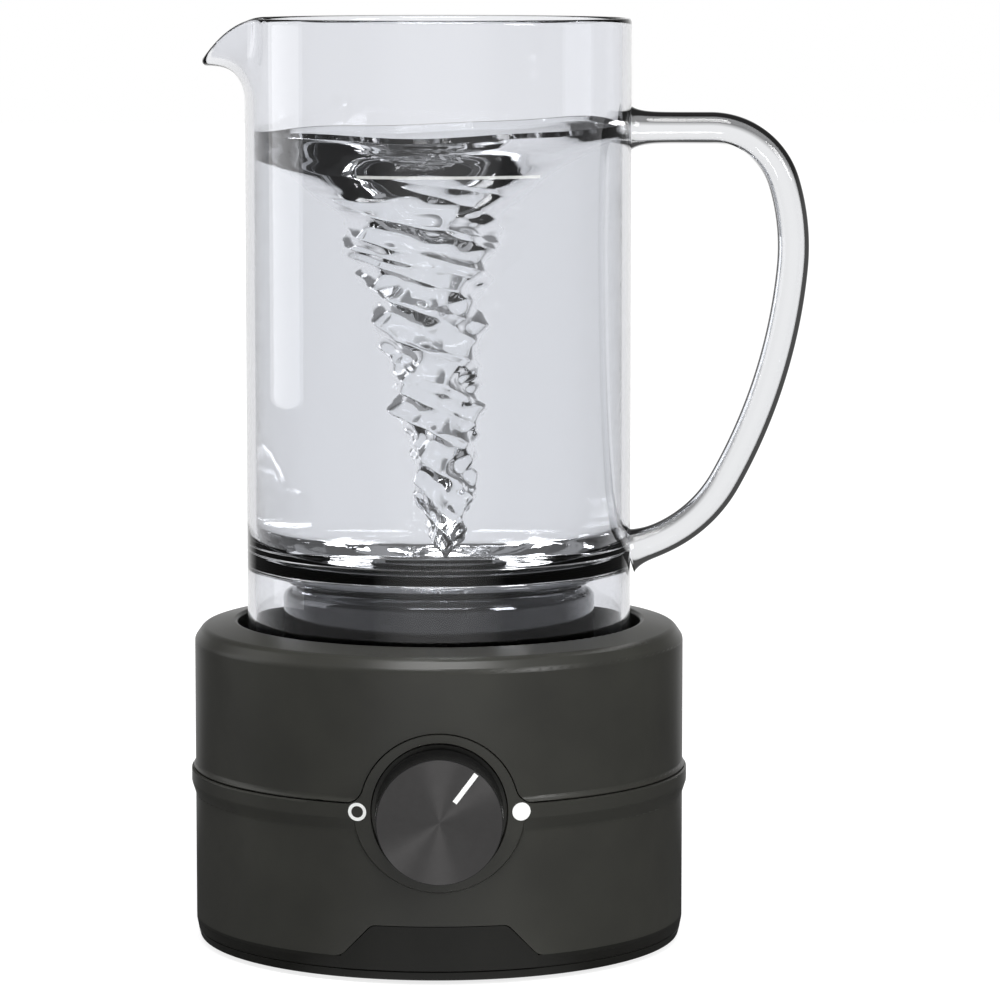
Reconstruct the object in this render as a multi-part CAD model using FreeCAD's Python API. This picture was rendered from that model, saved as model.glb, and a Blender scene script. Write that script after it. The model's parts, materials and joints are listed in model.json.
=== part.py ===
import FreeCAD, Part
import math
import os

from FreeCAD import Vector

os.makedirs("parts", exist_ok=True)

# Every size is in millimetres. Z is up, the table is at zero and the knob faces minus Y.

# Carafe
carafe_radius = 52.6
glass_wall = 2.4
vessel_height = 153.3
dish_margin = 0.7
dish_rise = 5.0
spout_length = 12.8
spout_inset = 1.7
spout_drop = 11.2
spout_depth = 2.0
spout_root_half_width = 16.0
spout_tip_half_width = 3.4
spout_wall = 2.0
handle_rod_radius = 4.4
handle_drop = 29.9
handle_run = 21.6
handle_bends = [(21.0, 73.0), (60.5, 22.4), (148.0, 23.8), (37.5, 43.0)]
handle_foot_radius = 6.4
handle_foot_length = 6.0
fill_line_drop = 40.9
fill_line_width = 0.8
fill_line_start = -24.0
fill_line_end = 30.5

# Base casing
casing_space = 9.8
base_wall = 2.4
well_mouth_height = 88.8
deck_fall = 1.9
deck_edge_width = 2.2
deck_edge_fall = 3.2
seam_gap = 0.3
ridge_rise = 1.1
ridge_flat = 3.8
ridge_blend = 3.4
tray_height = 7.1
tray_inset = 1.1
tray_lift = 1.1
tray_floor = 2.8
tray_groove_height = 3.6
tray_groove_depth = 0.3
foot_width = 5.0
plate_top_half_width = 17.9
plate_foot_half_width = 26.0
plate_height = 8.6
plate_seam = 0.2

# Well and plinth
well_clearance = 2.7
well_wall = 2.0
well_depth = 16.8
well_floor_thickness = 2.0
skirt_clearance = 4.0
plinth_radius = 42.6
plinth_rise = 10.8
plinth_shoulder = 3.5
plinth_sheet = 0.8
plinth_ledge = 9.6
seal_thickness = 1.0
pad_margin = 0.3
pad_thickness = 1.2

# Knob and its boss
knob_height = 46.2
knob_radius = 16.6
knob_draft = 0.3
knob_stand = 12.8
knob_gap = 1.0
knob_clearance = 0.9
knob_cap_thickness = 0.8
knob_cap_inset = 0.25
boss_rim = 2.0
boss_corner = 5.0
boss_skirt = 0.4
recess_flare = 1.1
recess_depth = 3.7
boss_floor_thickness = 3.0
boss_flange = 2.6
pointer_length = 9.4
pointer_margin = 0.6
pointer_width = 1.3
pointer_angle = 37.0
mark_offset = 0.7
mark_radius = 2.4
mark_line = 0.85
print_thickness = 0.12
control_size = 19.0
control_depth = 11.5
control_bush_radius = 4.5
control_shaft_radius = 3.0
washer_thickness = 0.8
control_nut_radius = 6.6
control_nut_height = 2.2
pointer_depth = 0.3

# Drive
shaft_radius = 2.0
running_gap = 0.04
rotor_gap = 1.2
carrier_margin = 7.8
carrier_thickness = 6.0
keeper_thickness = 1.5
keeper_margin = 4.0
hub_radius = 7.0
hub_length = 10.4
drive_magnet_radius = 6.5
drive_magnet_height = 5.0
drive_magnet_inset = 10.0
drive_magnet_count = 4
motor_radius = 18.0
motor_length = 36.5
motor_sheet = 1.2
motor_screw_reach = 11.0
motor_nose_radius = 6.0
motor_nose_rise = 1.0
bush_radius = 4.5
bush_stand = 1.5
brush_size = 3.0
brush_lift = 1.0
magnet_thickness = 2.6
magnet_lift = 7.0
magnet_drop = 5.0
armature_radius = 13.4
armature_lift = 11.0
armature_drop = 9.0
winding_radius = 11.5
winding_length = 3.8
commutator_radius = 4.0
carrier_thread_height = 1.8
shaft_socket_drop = 2.0
bracket_sheet = 1.5
bracket_flange_radius = 45.0
bracket_screw_circle = 39.5
bracket_boss_length = 8.0
bracket_drop = 4.9
isolator_height = 1.5
spinner_radius = 14.0
spinner_height = 2.2
vane_rise = 0.9
vane_width = 1.8
bar_length = 20.0
bar_width = 5.0
bar_lift = 0.6
bar_cover = 0.4
spinner_gap = 0.3

# Fasteners and electrical pieces
screw_radius = 1.5
head_radius = 2.9
head_height = 1.9
screw_seat_depth = 1.9
post_radius = 4.2
post_sink = 0.2
post_clearance = 0.4
pilot_depth = 13.0
counterbore_roof = 12.0
shell_screw_bite = 9.0
nut_radius = 3.0
nut_height = 2.6
lap_height = 5.0
lap_tongue = 3.0
lap_gap = 0.2
board_length = 74.0
board_width = 46.0
board_thickness = 1.6
board_height = 13.0
board_centre = 8.0
board_post_radius = 3.4
board_corner_inset = 4.0
core_length = 24.0
core_width = 20.0
core_height = 17.0
coil_length = 15.0
coil_width = 28.0
core_x = -20.0
core_y = 6.0
capacitor_radius = 6.0
capacitor_height = 15.0
terminal_height = 9.0
lead_radius = 0.9
inlet_height = 22.0
inlet_radius = 3.5
inlet_sleeve = 6.0
inlet_flange = 8.0

# Places that follow from the sizes above
carafe_inner = carafe_radius - glass_wall
well_radius = carafe_radius + well_clearance
well_outer = well_radius + well_wall
base_radius = well_outer + casing_space
base_inner = base_radius - base_wall
ridge_radius = base_radius + ridge_rise
parting_height = knob_height + ridge_flat / 2
deck_outer_height = well_mouth_height - deck_fall
deck_outer_radius = base_radius - deck_edge_width
shoulder_height = deck_outer_height - deck_edge_fall
well_floor_height = well_mouth_height - well_depth
well_floor_under = well_floor_height - well_floor_thickness
well_opening_radius = plinth_radius - plinth_ledge
skirt_foot_height = well_floor_height + skirt_clearance
seat_height = well_mouth_height + plinth_rise
rim_height = seat_height + vessel_height
pad_radius = plinth_radius - plinth_shoulder - pad_margin
dish_radius = pad_radius + dish_margin
carafe_floor = seat_height + glass_wall
spout_root = carafe_radius - spout_inset
spout_tip = carafe_radius + spout_length
spout_tip_height = rim_height - spout_drop
spout_underside = spout_tip_height - spout_depth
handle_height = rim_height - handle_drop
fill_line_height = rim_height - fill_line_drop
tray_top = tray_lift + tray_floor
plate_top = tray_height + plate_height
plate_steel_top = seat_height - pad_thickness
plinth_foot = well_floor_height + seal_thickness
plinth_screw_circle = (well_opening_radius + plinth_radius - plinth_sheet) / 2
magnet_top = plate_steel_top - plinth_sheet - rotor_gap
carrier_radius = plinth_radius - plinth_sheet - carrier_margin
carrier_foot = magnet_top - carrier_thickness
keeper_radius = carrier_radius - keeper_margin
drive_magnet_circle = carrier_radius - drive_magnet_inset
bracket_top = carrier_foot - keeper_thickness - bracket_drop
motor_top = bracket_top - bracket_sheet
motor_foot = motor_top - motor_length
end_cap_foot = motor_foot - 4.0
bracket_foot = well_floor_under - bracket_boss_length - isolator_height - bracket_sheet
brush_foot = motor_foot + brush_lift
armature_foot = motor_foot + armature_lift
armature_top = motor_top - armature_drop
nose_hole_radius = motor_nose_radius + 0.2
board_top = board_height + board_thickness
terminal_top = board_top + terminal_height
spinner_foot = carafe_floor + spinner_gap
recess_floor_radius = knob_radius + knob_draft + knob_clearance
recess_radius = recess_floor_radius + recess_flare
boss_radius = recess_radius + boss_rim
mark_reach = boss_radius + mark_offset
knob_face = ridge_radius + knob_stand
recess_floor = ridge_radius - recess_depth
recess_back = recess_floor - boss_floor_thickness
shaft_end = knob_face - 5.0
pointer_end = knob_radius - pointer_margin
pointer_start = pointer_end - pointer_length
post_circle = base_inner - post_radius + post_sink
foot_outer = post_circle - head_radius - 1.6
foot_inner = foot_outer - foot_width
terminal_y = board_centre - board_width / 2 + 6.0
shell_screw_angles = [30.0, 150.0, 210.0, 330.0]
tray_screw_angles = [0.0, 120.0, 240.0]


def polar(radius, degrees):
    turn = math.radians(degrees)
    return radius * math.cos(turn), radius * math.sin(turn)


def column(radius, bottom, top, x=0.0, y=0.0):
    return Part.makeCylinder(radius, top - bottom, Vector(x, y, bottom))


def sleeve(outer, inner, bottom, top, x=0.0, y=0.0):
    return column(outer, bottom, top, x, y).cut(column(inner, bottom, top, x, y))


def spindle(radius, back, front, x=0.0, z=knob_height):
    # A rod along Y, given by how far its two ends stand in front of the base's axis.
    return Part.makeCylinder(radius, front - back, Vector(x, -back, z), Vector(0, -1, 0))


def block(x_size, y_size, bottom, top, x=0.0, y=0.0):
    corner = Vector(x - x_size / 2, y - y_size / 2, bottom)
    return Part.makeBox(x_size, y_size, top - bottom, corner)


def rounded_path(corners, closed):
    # Straight runs joined by tangent arcs. Each corner is a point and its radius.
    count = len(corners)
    starts = []
    ends = []
    middles = []
    for index, (here, radius) in enumerate(corners):
        if radius <= 0 or (not closed and index in (0, count - 1)):
            starts.append(here)
            ends.append(here)
            middles.append(None)
            continue
        back = (corners[index - 1][0] - here).normalize()
        ahead = (corners[(index + 1) % count][0] - here).normalize()
        half = back.getAngle(ahead) / 2
        reach = radius / math.tan(half)
        inward = (back + ahead).normalize()
        starts.append(here + back * reach)
        ends.append(here + ahead * reach)
        middles.append(here + inward * (radius / math.sin(half) - radius))
    edges = []
    for index in range(count):
        if middles[index] is not None:
            edges.append(Part.Arc(starts[index], middles[index], ends[index]).toShape())
        following = (index + 1) % count
        if following == 0 and not closed:
            break
        if ends[index].distanceToPoint(starts[following]) > 1e-6:
            edges.append(Part.LineSegment(ends[index], starts[following]).toShape())
    return Part.Wire(edges)


def turned(outline):
    # A solid of revolution about Z from corners given as radius, height and rounding.
    corners = [(Vector(radius, 0, height), rounding) for radius, height, rounding in outline]
    face = Part.Face(rounded_path(corners, True))
    return face.revolve(Vector(0, 0, 0), Vector(0, 0, 1), 360)


def front_plate(outline, back, front):
    # An outline in X and Z, drawn forwards from one distance to another.
    corners = [(Vector(x, -back, z), rounding) for x, z, rounding in outline]
    face = Part.Face(rounded_path(corners, True))
    return face.extrude(Vector(0, back - front, 0))


def around(shape, angles):
    return [shape.rotated(Vector(0, 0, 0), Vector(0, 0, 1), angle) for angle in angles]


def even(count, first=0.0):
    return [first + 360.0 * index / count for index in range(count)]


def screw(x, y, seat, tip, upwards=True, shank=screw_radius):
    # A pan head screw whose head bears on the seat.
    if upwards:
        shape = column(head_radius, seat - head_height, seat, x, y).fuse(column(shank, seat, tip, x, y))
        drive = column(head_radius * 0.45, seat - head_height, seat - head_height / 2, x, y)
    else:
        shape = column(head_radius, seat, seat + head_height, x, y).fuse(column(shank, tip, seat, x, y))
        drive = column(head_radius * 0.45, seat + head_height / 2, seat + head_height, x, y)
    return shape.cut(drive)


def lead(points, radius):
    # A wire along its points, with each bend as wide as its two runs allow.
    corners = []
    for index, here in enumerate(points):
        if index in (0, len(points) - 1):
            corners.append((here, 0.0))
            continue
        back = points[index - 1] - here
        ahead = points[index + 1] - here
        turn = math.pi - back.getAngle(ahead)
        bend = 0.45 * min(back.Length, ahead.Length) / math.tan(turn / 2)
        print("lead bend radius", round(bend, 2))
        corners.append((here, bend))
    path = rounded_path(corners, False)
    heading = (points[1] - points[0]).normalize()
    ring = Part.Wire(Part.makeCircle(radius, points[0], heading))
    tube = path.makePipeShell([ring], True, False)
    print("lead volume over section times length", round(tube.Volume / (math.pi * radius**2 * path.Length), 4))
    return tube


def save(node, shape):
    if isinstance(shape, list):
        shape = Part.makeCompound(shape)
    shape.exportStep("parts/" + node + ".step")


# Base casing

def boss_outline(grow):
    # The disc round the knob with the band that runs into it, corners filleted.
    height = 8.0
    disc = spindle(boss_radius + grow, recess_back - 6.0, ridge_radius + 4.0)
    band_half = boss_radius + 14.0
    low = parting_height - ridge_flat
    band = block(2 * band_half, height, low - grow, parting_height + grow, 0.0, -ridge_radius)
    band = band.fuse(block(2 * band_half, height, low - grow, parting_height + grow, 0.0, -ridge_radius + height))
    shape = disc.fuse(band).removeSplitter()
    edges = []
    for edge in shape.Edges:
        low_point = edge.BoundBox
        along_y = low_point.YLength > 4.0 and low_point.XLength < 0.1 and low_point.ZLength < 0.1
        beside_disc = abs(low_point.Center.x) < boss_radius + grow + 0.5
        off_axis = abs(low_point.Center.x) > boss_radius * 0.8
        if along_y and beside_disc and off_axis:
            edges.append(edge)
    return shape.makeFillet(boss_corner - grow, edges)


def make_upper_shell():
    edge = parting_height + seam_gap
    shell = turned([
        (base_radius + 0.7, edge, 0.2),
        (base_radius, edge + 1.2, 1.5),
        (base_radius, shoulder_height, 2.4),
        (deck_outer_radius, deck_outer_height, 2.4),
        (well_radius, well_mouth_height, 1.0),
        (well_radius, well_floor_height, 1.0),
        (well_opening_radius, well_floor_height, 0.0),
        (well_opening_radius, well_floor_under, 0.0),
        (well_outer, well_floor_under, 1.0),
        (well_outer, deck_outer_height - base_wall, 1.0),
        (deck_outer_radius - 1.0, deck_outer_height - base_wall, 1.0),
        (base_inner, shoulder_height - base_wall / 2, 1.0),
        (base_inner, edge, 0.2),
    ])
    pillar_x, pillar_y = polar(post_circle, 0.0)
    pillar = column(post_radius, edge + 0.3, shoulder_height - base_wall - 2.0, pillar_x, pillar_y)
    pilot = column(screw_radius, edge, edge + pilot_depth, pillar_x, pillar_y)
    inside = column(base_inner + 0.6, edge, deck_outer_height)
    pillars = [piece.common(inside) for piece in around(pillar, shell_screw_angles)]
    bracket_x, bracket_y = polar(bracket_screw_circle, 45.0)
    stub_foot = well_floor_under - bracket_boss_length
    stub = column(post_radius, stub_foot, well_floor_under, bracket_x, bracket_y)
    stub_hole = column(screw_radius, stub_foot, well_floor_under - 1.0, bracket_x, bracket_y)
    plinth_x, plinth_y = polar(plinth_screw_circle, 0.0)
    plinth_hole = column(screw_radius, well_floor_under - 1.0, well_floor_height + 1.0, plinth_x, plinth_y)
    shell = shell.fuse(pillars + around(stub, even(4)))
    shell = shell.cut(around(pilot, shell_screw_angles) + around(stub_hole, even(4)))
    shell = shell.cut(around(plinth_hole, even(4)))
    return shell.cut(boss_outline(seam_gap)).removeSplitter()


def make_lower_shell():
    low = parting_height - ridge_flat
    shell = turned([
        (base_radius, tray_height, 0.0),
        (base_radius, low - ridge_blend, 3.0),
        (ridge_radius, low, 1.5),
        (ridge_radius, parting_height, 0.4),
        (base_inner, parting_height, 0.0),
        (base_inner, tray_height, 0.0),
    ])
    lip = sleeve(base_inner, base_inner - base_wall, parting_height - lap_height, parting_height)
    tongue = sleeve(base_inner - lap_gap, base_inner - base_wall, parting_height - lap_height,
                    parting_height + lap_tongue)
    raised = boss_outline(0.0).common(column(ridge_radius, low, knob_height + boss_radius + 1.0))
    raised = raised.fuse(spindle(boss_radius, recess_back - 1.5, ridge_radius + 4.0).common(
        column(ridge_radius, knob_height - boss_radius - 1.0, knob_height + boss_radius + 1.0)))
    cone_depth = 9.0
    cone = Part.makeCone(boss_radius + cone_depth * boss_skirt, boss_radius, cone_depth,
                         Vector(0, -(ridge_radius - cone_depth), knob_height), Vector(0, -1, 0))
    skirt = cone.common(column(ridge_radius, 0.0, low + 0.5))
    raised = raised.cut(column(base_inner - base_wall, 0.0, 2 * parting_height))
    skirt = skirt.cut(column(base_inner + 0.5, 0.0, 2 * parting_height))
    pad = spindle(boss_radius, recess_back, ridge_radius).common(column(ridge_radius, 0.0, 2 * parting_height))
    flange_front = math.sqrt(base_inner**2 - (boss_radius + boss_flange)**2) - 0.3
    flange = spindle(boss_radius + boss_flange, flange_front - 2.4, flange_front)
    collar = spindle(boss_radius, flange_front - 2.4, recess_back)
    well_space = column(well_outer + 0.5, well_floor_under - 0.3, deck_outer_height)
    flange = flange.cut(well_space)
    collar = collar.cut(well_space)
    opening = spindle(boss_radius - 2.4, flange_front - 3.0, recess_back)
    shell = shell.fuse([lip, tongue, raised, skirt, pad, flange, collar]).cut(opening)

    pillar_x, pillar_y = polar(post_circle, 0.0)
    clear = column(post_radius + post_clearance, parting_height, parting_height + 6.0, pillar_x, pillar_y)
    post = column(post_radius, tray_top, parting_height, pillar_x, pillar_y)
    inside = column(base_inner, 0.0, tray_height).fuse(column(base_inner + 0.6, tray_height, parting_height))
    posts = [piece.common(inside) for piece in around(post, shell_screw_angles + tray_screw_angles)]
    post_hole = column(screw_radius, tray_top, parting_height + 1.0, pillar_x, pillar_y)
    counterbore = column(head_radius + 0.2, tray_top - 1.0, parting_height - counterbore_roof, pillar_x, pillar_y)
    tray_hole = column(screw_radius, tray_top - 1.0, tray_top + 14.0, pillar_x, pillar_y)
    shell = shell.cut(around(clear, shell_screw_angles)).fuse(posts)
    shell = shell.cut(around(post_hole, shell_screw_angles) + around(counterbore, shell_screw_angles))
    shell = shell.cut(around(tray_hole, tray_screw_angles))

    recess = Part.makeCone(recess_floor_radius, recess_radius, ridge_radius - recess_floor + 0.2,
                           Vector(0, -recess_floor, knob_height), Vector(0, -1, 0))
    bush_hole = spindle(control_bush_radius, recess_back - 1.0, recess_floor + 1.0)
    inlet = Part.makeCylinder(inlet_sleeve, 10.0, Vector(0, base_inner - 4.0, inlet_height), Vector(0, 1, 0))
    seat = Part.makeCylinder(inlet_flange + 0.2, 4.0, Vector(0, base_radius - 0.8, inlet_height), Vector(0, 1, 0))
    shell = shell.cut([recess, bush_hole, inlet, seat])
    return shell.cut(plate_tab(plate_seam, base_inner - 1.0)).removeSplitter()


def plate_tab(grow, inner):
    # The trapezoid that rises from the bottom band at the front.
    far = base_radius - 3.0
    top = plate_top + grow
    outline = [
        (-far, tray_top, 0.0),
        (-far, tray_height, 0.0),
        (-plate_foot_half_width - grow, tray_height, 4.0),
        (-plate_top_half_width - grow, top, 3.0),
        (plate_top_half_width + grow, top, 3.0),
        (plate_foot_half_width + grow, tray_height, 4.0),
        (far, tray_height, 0.0),
        (far, tray_top, 0.0),
    ]
    plate = front_plate(outline, 8.0, base_radius + 4.0)
    return plate.common(sleeve(base_radius, inner, tray_top, top + 1.0))


def make_bottom_tray():
    groove = tray_groove_height
    tray = turned([
        (0.0, tray_lift, 0.0),
        (base_radius - tray_inset, tray_lift, 0.8),
        (base_radius - 0.5, groove - 0.2, 0.0),
        (base_radius - 0.5 - tray_groove_depth, groove, 0.0),
        (base_radius - 0.45, groove + 0.2, 0.0),
        (base_radius, tray_height - 1.0, 2.0),
        (base_radius, tray_height, 0.0),
        (base_inner, tray_height, 0.0),
        (base_inner, tray_top, 0.0),
        (0.0, tray_top, 0.0),
    ])
    upstand = sleeve(base_inner - 0.2, base_inner - 0.2 - base_wall, tray_top, tray_height + 4.0)
    post_x, post_y = polar(post_circle, 0.0)
    clear = column(post_radius + post_clearance, tray_top, tray_height + 5.0, post_x, post_y)
    upstand = upstand.cut(around(clear, shell_screw_angles + tray_screw_angles))
    inner = base_inner - 0.2 - base_wall
    tab = plate_tab(0.0, base_inner).fuse(plate_tab(0.0, inner).cut(column(base_radius + 1, tray_top, tray_height + 2)))
    tab = tab.common(block(2 * plate_foot_half_width, base_radius, tray_top, plate_top + 1.0, 0.0, -base_radius / 2))
    tall_clear = column(post_radius + post_clearance, tray_top, plate_top + 1.0, post_x, post_y)
    tab_inside = column(base_inner, tray_top, plate_top + 1.0)
    tab = tab.cut([gap.common(tab_inside) for gap in around(tall_clear, shell_screw_angles + tray_screw_angles)])
    board_posts = [column(board_post_radius, tray_top, board_height, x, y) for x, y in board_corners()]
    board_holes = [column(screw_radius, tray_top + 2.0, board_height, x, y) for x, y in board_corners()]
    hole = column(screw_radius, 0.0, tray_top, post_x, post_y)
    counter = column(head_radius + 0.3, 0.0, tray_lift + screw_seat_depth, post_x, post_y)
    slot = block(16.0, 3.0, 0.0, tray_top, 28.0, 0.0)
    access = column(head_radius + 0.3, 0.0, tray_top, post_x, post_y)
    ring_seat = sleeve(foot_outer + 0.1, foot_inner - 0.1, 0.0, tray_lift + 1.0)
    tray = tray.fuse([upstand, tab] + board_posts).cut(board_holes)
    tray = tray.cut(around(hole, tray_screw_angles) + around(counter, tray_screw_angles))
    tray = tray.cut(around(access, shell_screw_angles) + around(slot, even(8, 22.5)) + [ring_seat])
    return tray.removeSplitter()


def make_foot_ring():
    return sleeve(foot_outer, foot_inner, 0.0, tray_lift + 1.0)


def make_shell_screws():
    x, y = polar(post_circle, 0.0)
    seat = parting_height - counterbore_roof
    return around(screw(x, y, seat, parting_height + shell_screw_bite), shell_screw_angles)


def make_tray_screws():
    x, y = polar(post_circle, 0.0)
    return around(screw(x, y, tray_lift + screw_seat_depth, tray_top + 12.0), tray_screw_angles)


# Plinth that the carafe stands on

def make_drive_plinth():
    foot_lip = well_opening_radius + 1.0
    top = seat_height - 0.4
    inside = plinth_radius - plinth_sheet
    cup = turned([
        (plinth_radius, plinth_foot, 0.8),
        (plinth_radius, top, plinth_shoulder),
        (pad_radius + 0.1, top, 0.3),
        (pad_radius + 0.1, plate_steel_top, 0.0),
        (0.0, plate_steel_top, 0.0),
        (0.0, plate_steel_top - plinth_sheet, 0.0),
        (inside, plate_steel_top - plinth_sheet, plinth_shoulder - 0.6),
        (inside, plinth_foot + plinth_sheet, 0.3),
        (foot_lip, plinth_foot + plinth_sheet, 0.0),
        (foot_lip, plinth_foot, 0.0),
    ])
    x, y = polar(plinth_screw_circle, 0.0)
    nut = column(nut_radius, plinth_foot + plinth_sheet, plinth_foot + plinth_sheet + nut_height, x, y)
    hole = column(screw_radius, plinth_foot - 1.0, plinth_foot + plinth_sheet + 3.0, x, y)
    return cup.fuse(around(nut, even(4))).cut(around(hole, even(4))).removeSplitter()


def make_plinth_pad():
    pad = turned([
        (0.0, plate_steel_top, 0.0),
        (pad_radius, plate_steel_top, 0.0),
        (pad_radius, seat_height, 0.5),
        (0.0, seat_height, 0.0),
    ])
    return pad


def make_plinth_seal():
    x, y = polar(plinth_screw_circle, 0.0)
    ring = sleeve(plinth_radius + 1.2, well_opening_radius + 1.0, well_floor_height, plinth_foot)
    hole = column(screw_radius, well_floor_height, plinth_foot, x, y)
    return ring.cut(around(hole, even(4)))


def make_plinth_screws():
    x, y = polar(plinth_screw_circle, 0.0)
    tip = plinth_foot + plinth_sheet + nut_height
    return around(screw(x, y, well_floor_under, tip), even(4))


# Motor and its bracket

def make_motor_bracket():
    wall_radius = motor_radius + 4.5
    hat = turned([
        (nose_hole_radius, bracket_top, 0.0),
        (wall_radius, bracket_top, 2.0),
        (wall_radius, bracket_foot + bracket_sheet, 1.0),
        (bracket_flange_radius, bracket_foot + bracket_sheet, 0.0),
        (bracket_flange_radius, bracket_foot, 0.0),
        (wall_radius - bracket_sheet, bracket_foot, 1.0),
        (wall_radius - bracket_sheet, bracket_top - bracket_sheet, 0.8),
        (nose_hole_radius, bracket_top - bracket_sheet, 0.0),
    ])
    x, y = polar(bracket_screw_circle, 45.0)
    hole = column(screw_radius, bracket_foot, bracket_foot + bracket_sheet, x, y)
    side_x, side_y = polar(bracket_flange_radius, 0.0)
    relief = column(10.0, bracket_foot, bracket_foot + bracket_sheet, side_x, side_y)
    motor_hole = column(screw_radius, bracket_top - bracket_sheet, bracket_top, motor_screw_reach, 0.0)
    hat = hat.cut(around(hole, even(4)) + around(relief, even(4)) + around(motor_hole, even(2)))
    return hat


def make_bracket_isolators():
    x, y = polar(bracket_screw_circle, 45.0)
    foot = bracket_foot + bracket_sheet
    return around(sleeve(post_radius, screw_radius, foot, foot + isolator_height, x, y), even(4))


def make_bracket_screws():
    x, y = polar(bracket_screw_circle, 45.0)
    return around(screw(x, y, bracket_foot, well_floor_under - 1.5), even(4))


def make_motor_can():
    can = column(motor_radius, motor_foot, motor_top)
    can = can.cut(column(motor_radius - motor_sheet, motor_foot, motor_top - motor_sheet))
    nose = sleeve(motor_nose_radius, bush_radius, motor_top - motor_sheet, bracket_top + motor_nose_rise)
    can = can.cut(column(5.0, motor_top - motor_sheet, motor_top)).fuse(nose)
    thread = column(screw_radius, motor_top - motor_sheet, motor_top, motor_screw_reach, 0.0)
    return can.cut(around(thread, even(2))).removeSplitter()


def make_motor_end_cap():
    cap = column(motor_radius, end_cap_foot + 1.0, motor_foot)
    cap = cap.fuse(column(motor_nose_radius + 0.5, end_cap_foot - bush_stand, end_cap_foot + 1.0))
    cap = cap.cut(column(bush_radius, end_cap_foot - bush_stand, motor_foot))
    holder = block(6.0, 6.0, motor_foot, motor_foot + 5.0, 10.0, 0.0)
    holder = holder.cut(block(6.0, brush_size, brush_foot, brush_foot + brush_size, 10.0, 0.0))
    return cap.fuse(around(holder, even(2))).removeSplitter()


def make_carbon_brushes():
    reach = 4.2
    brush = block(12.5 - reach, brush_size, brush_foot, brush_foot + brush_size, (12.5 + reach) / 2, 0.0)
    return around(brush, even(2))


def make_motor_bushes():
    bore = shaft_radius + running_gap
    top = sleeve(bush_radius, bore, motor_top - 0.6, bracket_top + motor_nose_rise)
    low = sleeve(bush_radius, bore, end_cap_foot - bush_stand, motor_foot)
    return [top, low]


def make_motor_screws():
    return around(screw(motor_screw_reach, 0.0, bracket_top, motor_top - motor_sheet, False), even(2))


def make_field_magnets():
    outer = motor_radius - motor_sheet
    ring = sleeve(outer, outer - magnet_thickness, motor_foot + magnet_lift, motor_top - magnet_drop)
    gap = block(2 * motor_radius, 9.0, motor_foot, motor_top)
    return ring.cut(gap).Solids


def make_motor_shaft():
    return column(shaft_radius, end_cap_foot - 3.0, magnet_top - shaft_socket_drop)


def make_armature_core():
    core = column(armature_radius, armature_foot, armature_top)
    slot = block(6.0, 2.2, motor_foot, motor_top, 11.4, 0.0)
    return core.cut(around(slot, even(5))).cut(column(shaft_radius, motor_foot, motor_top))


def make_armature_windings():
    low = sleeve(winding_radius, shaft_radius, armature_foot - winding_length, armature_foot)
    high = sleeve(winding_radius, shaft_radius, armature_top, armature_top + winding_length)
    return [low, high]


def make_commutator():
    ring = sleeve(commutator_radius, shaft_radius, motor_foot + 0.6, motor_foot + 6.6)
    cut = block(1.5, 0.4, motor_foot, motor_foot + 5.4, 3.7, 0.0)
    return ring.cut(around(cut, even(5)))


def make_magnet_carrier():
    foot = magnet_top - hub_length
    carrier = column(carrier_radius, carrier_foot, magnet_top).fuse(column(hub_radius, foot, magnet_top))
    x, y = polar(drive_magnet_circle, 0.0)
    pocket = column(drive_magnet_radius, magnet_top - drive_magnet_height, magnet_top, x, y)
    bore = column(shaft_radius, foot, magnet_top - shaft_socket_drop)
    thread = Part.makeCylinder(screw_radius, hub_radius, Vector(0, 0, foot + carrier_thread_height), Vector(1, 0, 0))
    return carrier.cut(around(pocket, even(drive_magnet_count)) + [bore, thread]).removeSplitter()


def make_drive_magnets():
    x, y = polar(drive_magnet_circle, 0.0)
    magnet = column(drive_magnet_radius, magnet_top - drive_magnet_height, magnet_top, x, y)
    return around(magnet, even(drive_magnet_count))


def make_keeper_plate():
    return sleeve(keeper_radius, hub_radius, carrier_foot - keeper_thickness, carrier_foot)


def make_carrier_grub_screw():
    height = magnet_top - hub_length + carrier_thread_height
    length = hub_radius - shaft_radius - 0.4
    grub = Part.makeCylinder(screw_radius, length, Vector(shaft_radius, 0, height), Vector(1, 0, 0))
    shaft = column(shaft_radius, height - 4.0, height + 4.0)
    return grub.cut(shaft)


# Knob and rotary control

def make_rotary_control():
    half = control_size / 2
    body = block(control_size, control_depth, knob_height - half, knob_height + half,
                 0.0, -(recess_back - control_depth / 2))
    bush = spindle(control_bush_radius, recess_back, recess_floor + 3.4)
    tags = [block(1.0, 4.0, knob_height - 6.0, knob_height - 3.0, x, -(recess_back - 13.5)) for x in (-4.0, 4.0)]
    bore = spindle(control_shaft_radius + running_gap, recess_back - 9.0, recess_floor + 4.0)
    return body.fuse([bush] + tags).cut(bore).removeSplitter()


def make_control_washer():
    front = recess_floor + washer_thickness
    return spindle(7.0, recess_floor, front).cut(spindle(control_bush_radius, recess_floor, front))


def make_control_nut():
    start = recess_floor + washer_thickness
    turns = [math.pi * side / 3 for side in range(7)]
    corners = [Vector(control_nut_radius * math.cos(turn), -start, knob_height + control_nut_radius * math.sin(turn))
               for turn in turns]
    hexagon = Part.Face(Part.makePolygon(corners)).extrude(Vector(0, -control_nut_height, 0))
    return hexagon.cut(spindle(control_bush_radius, start, start + control_nut_height))


def make_control_shaft():
    return spindle(control_shaft_radius, recess_back - 8.6, shaft_end)


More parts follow.
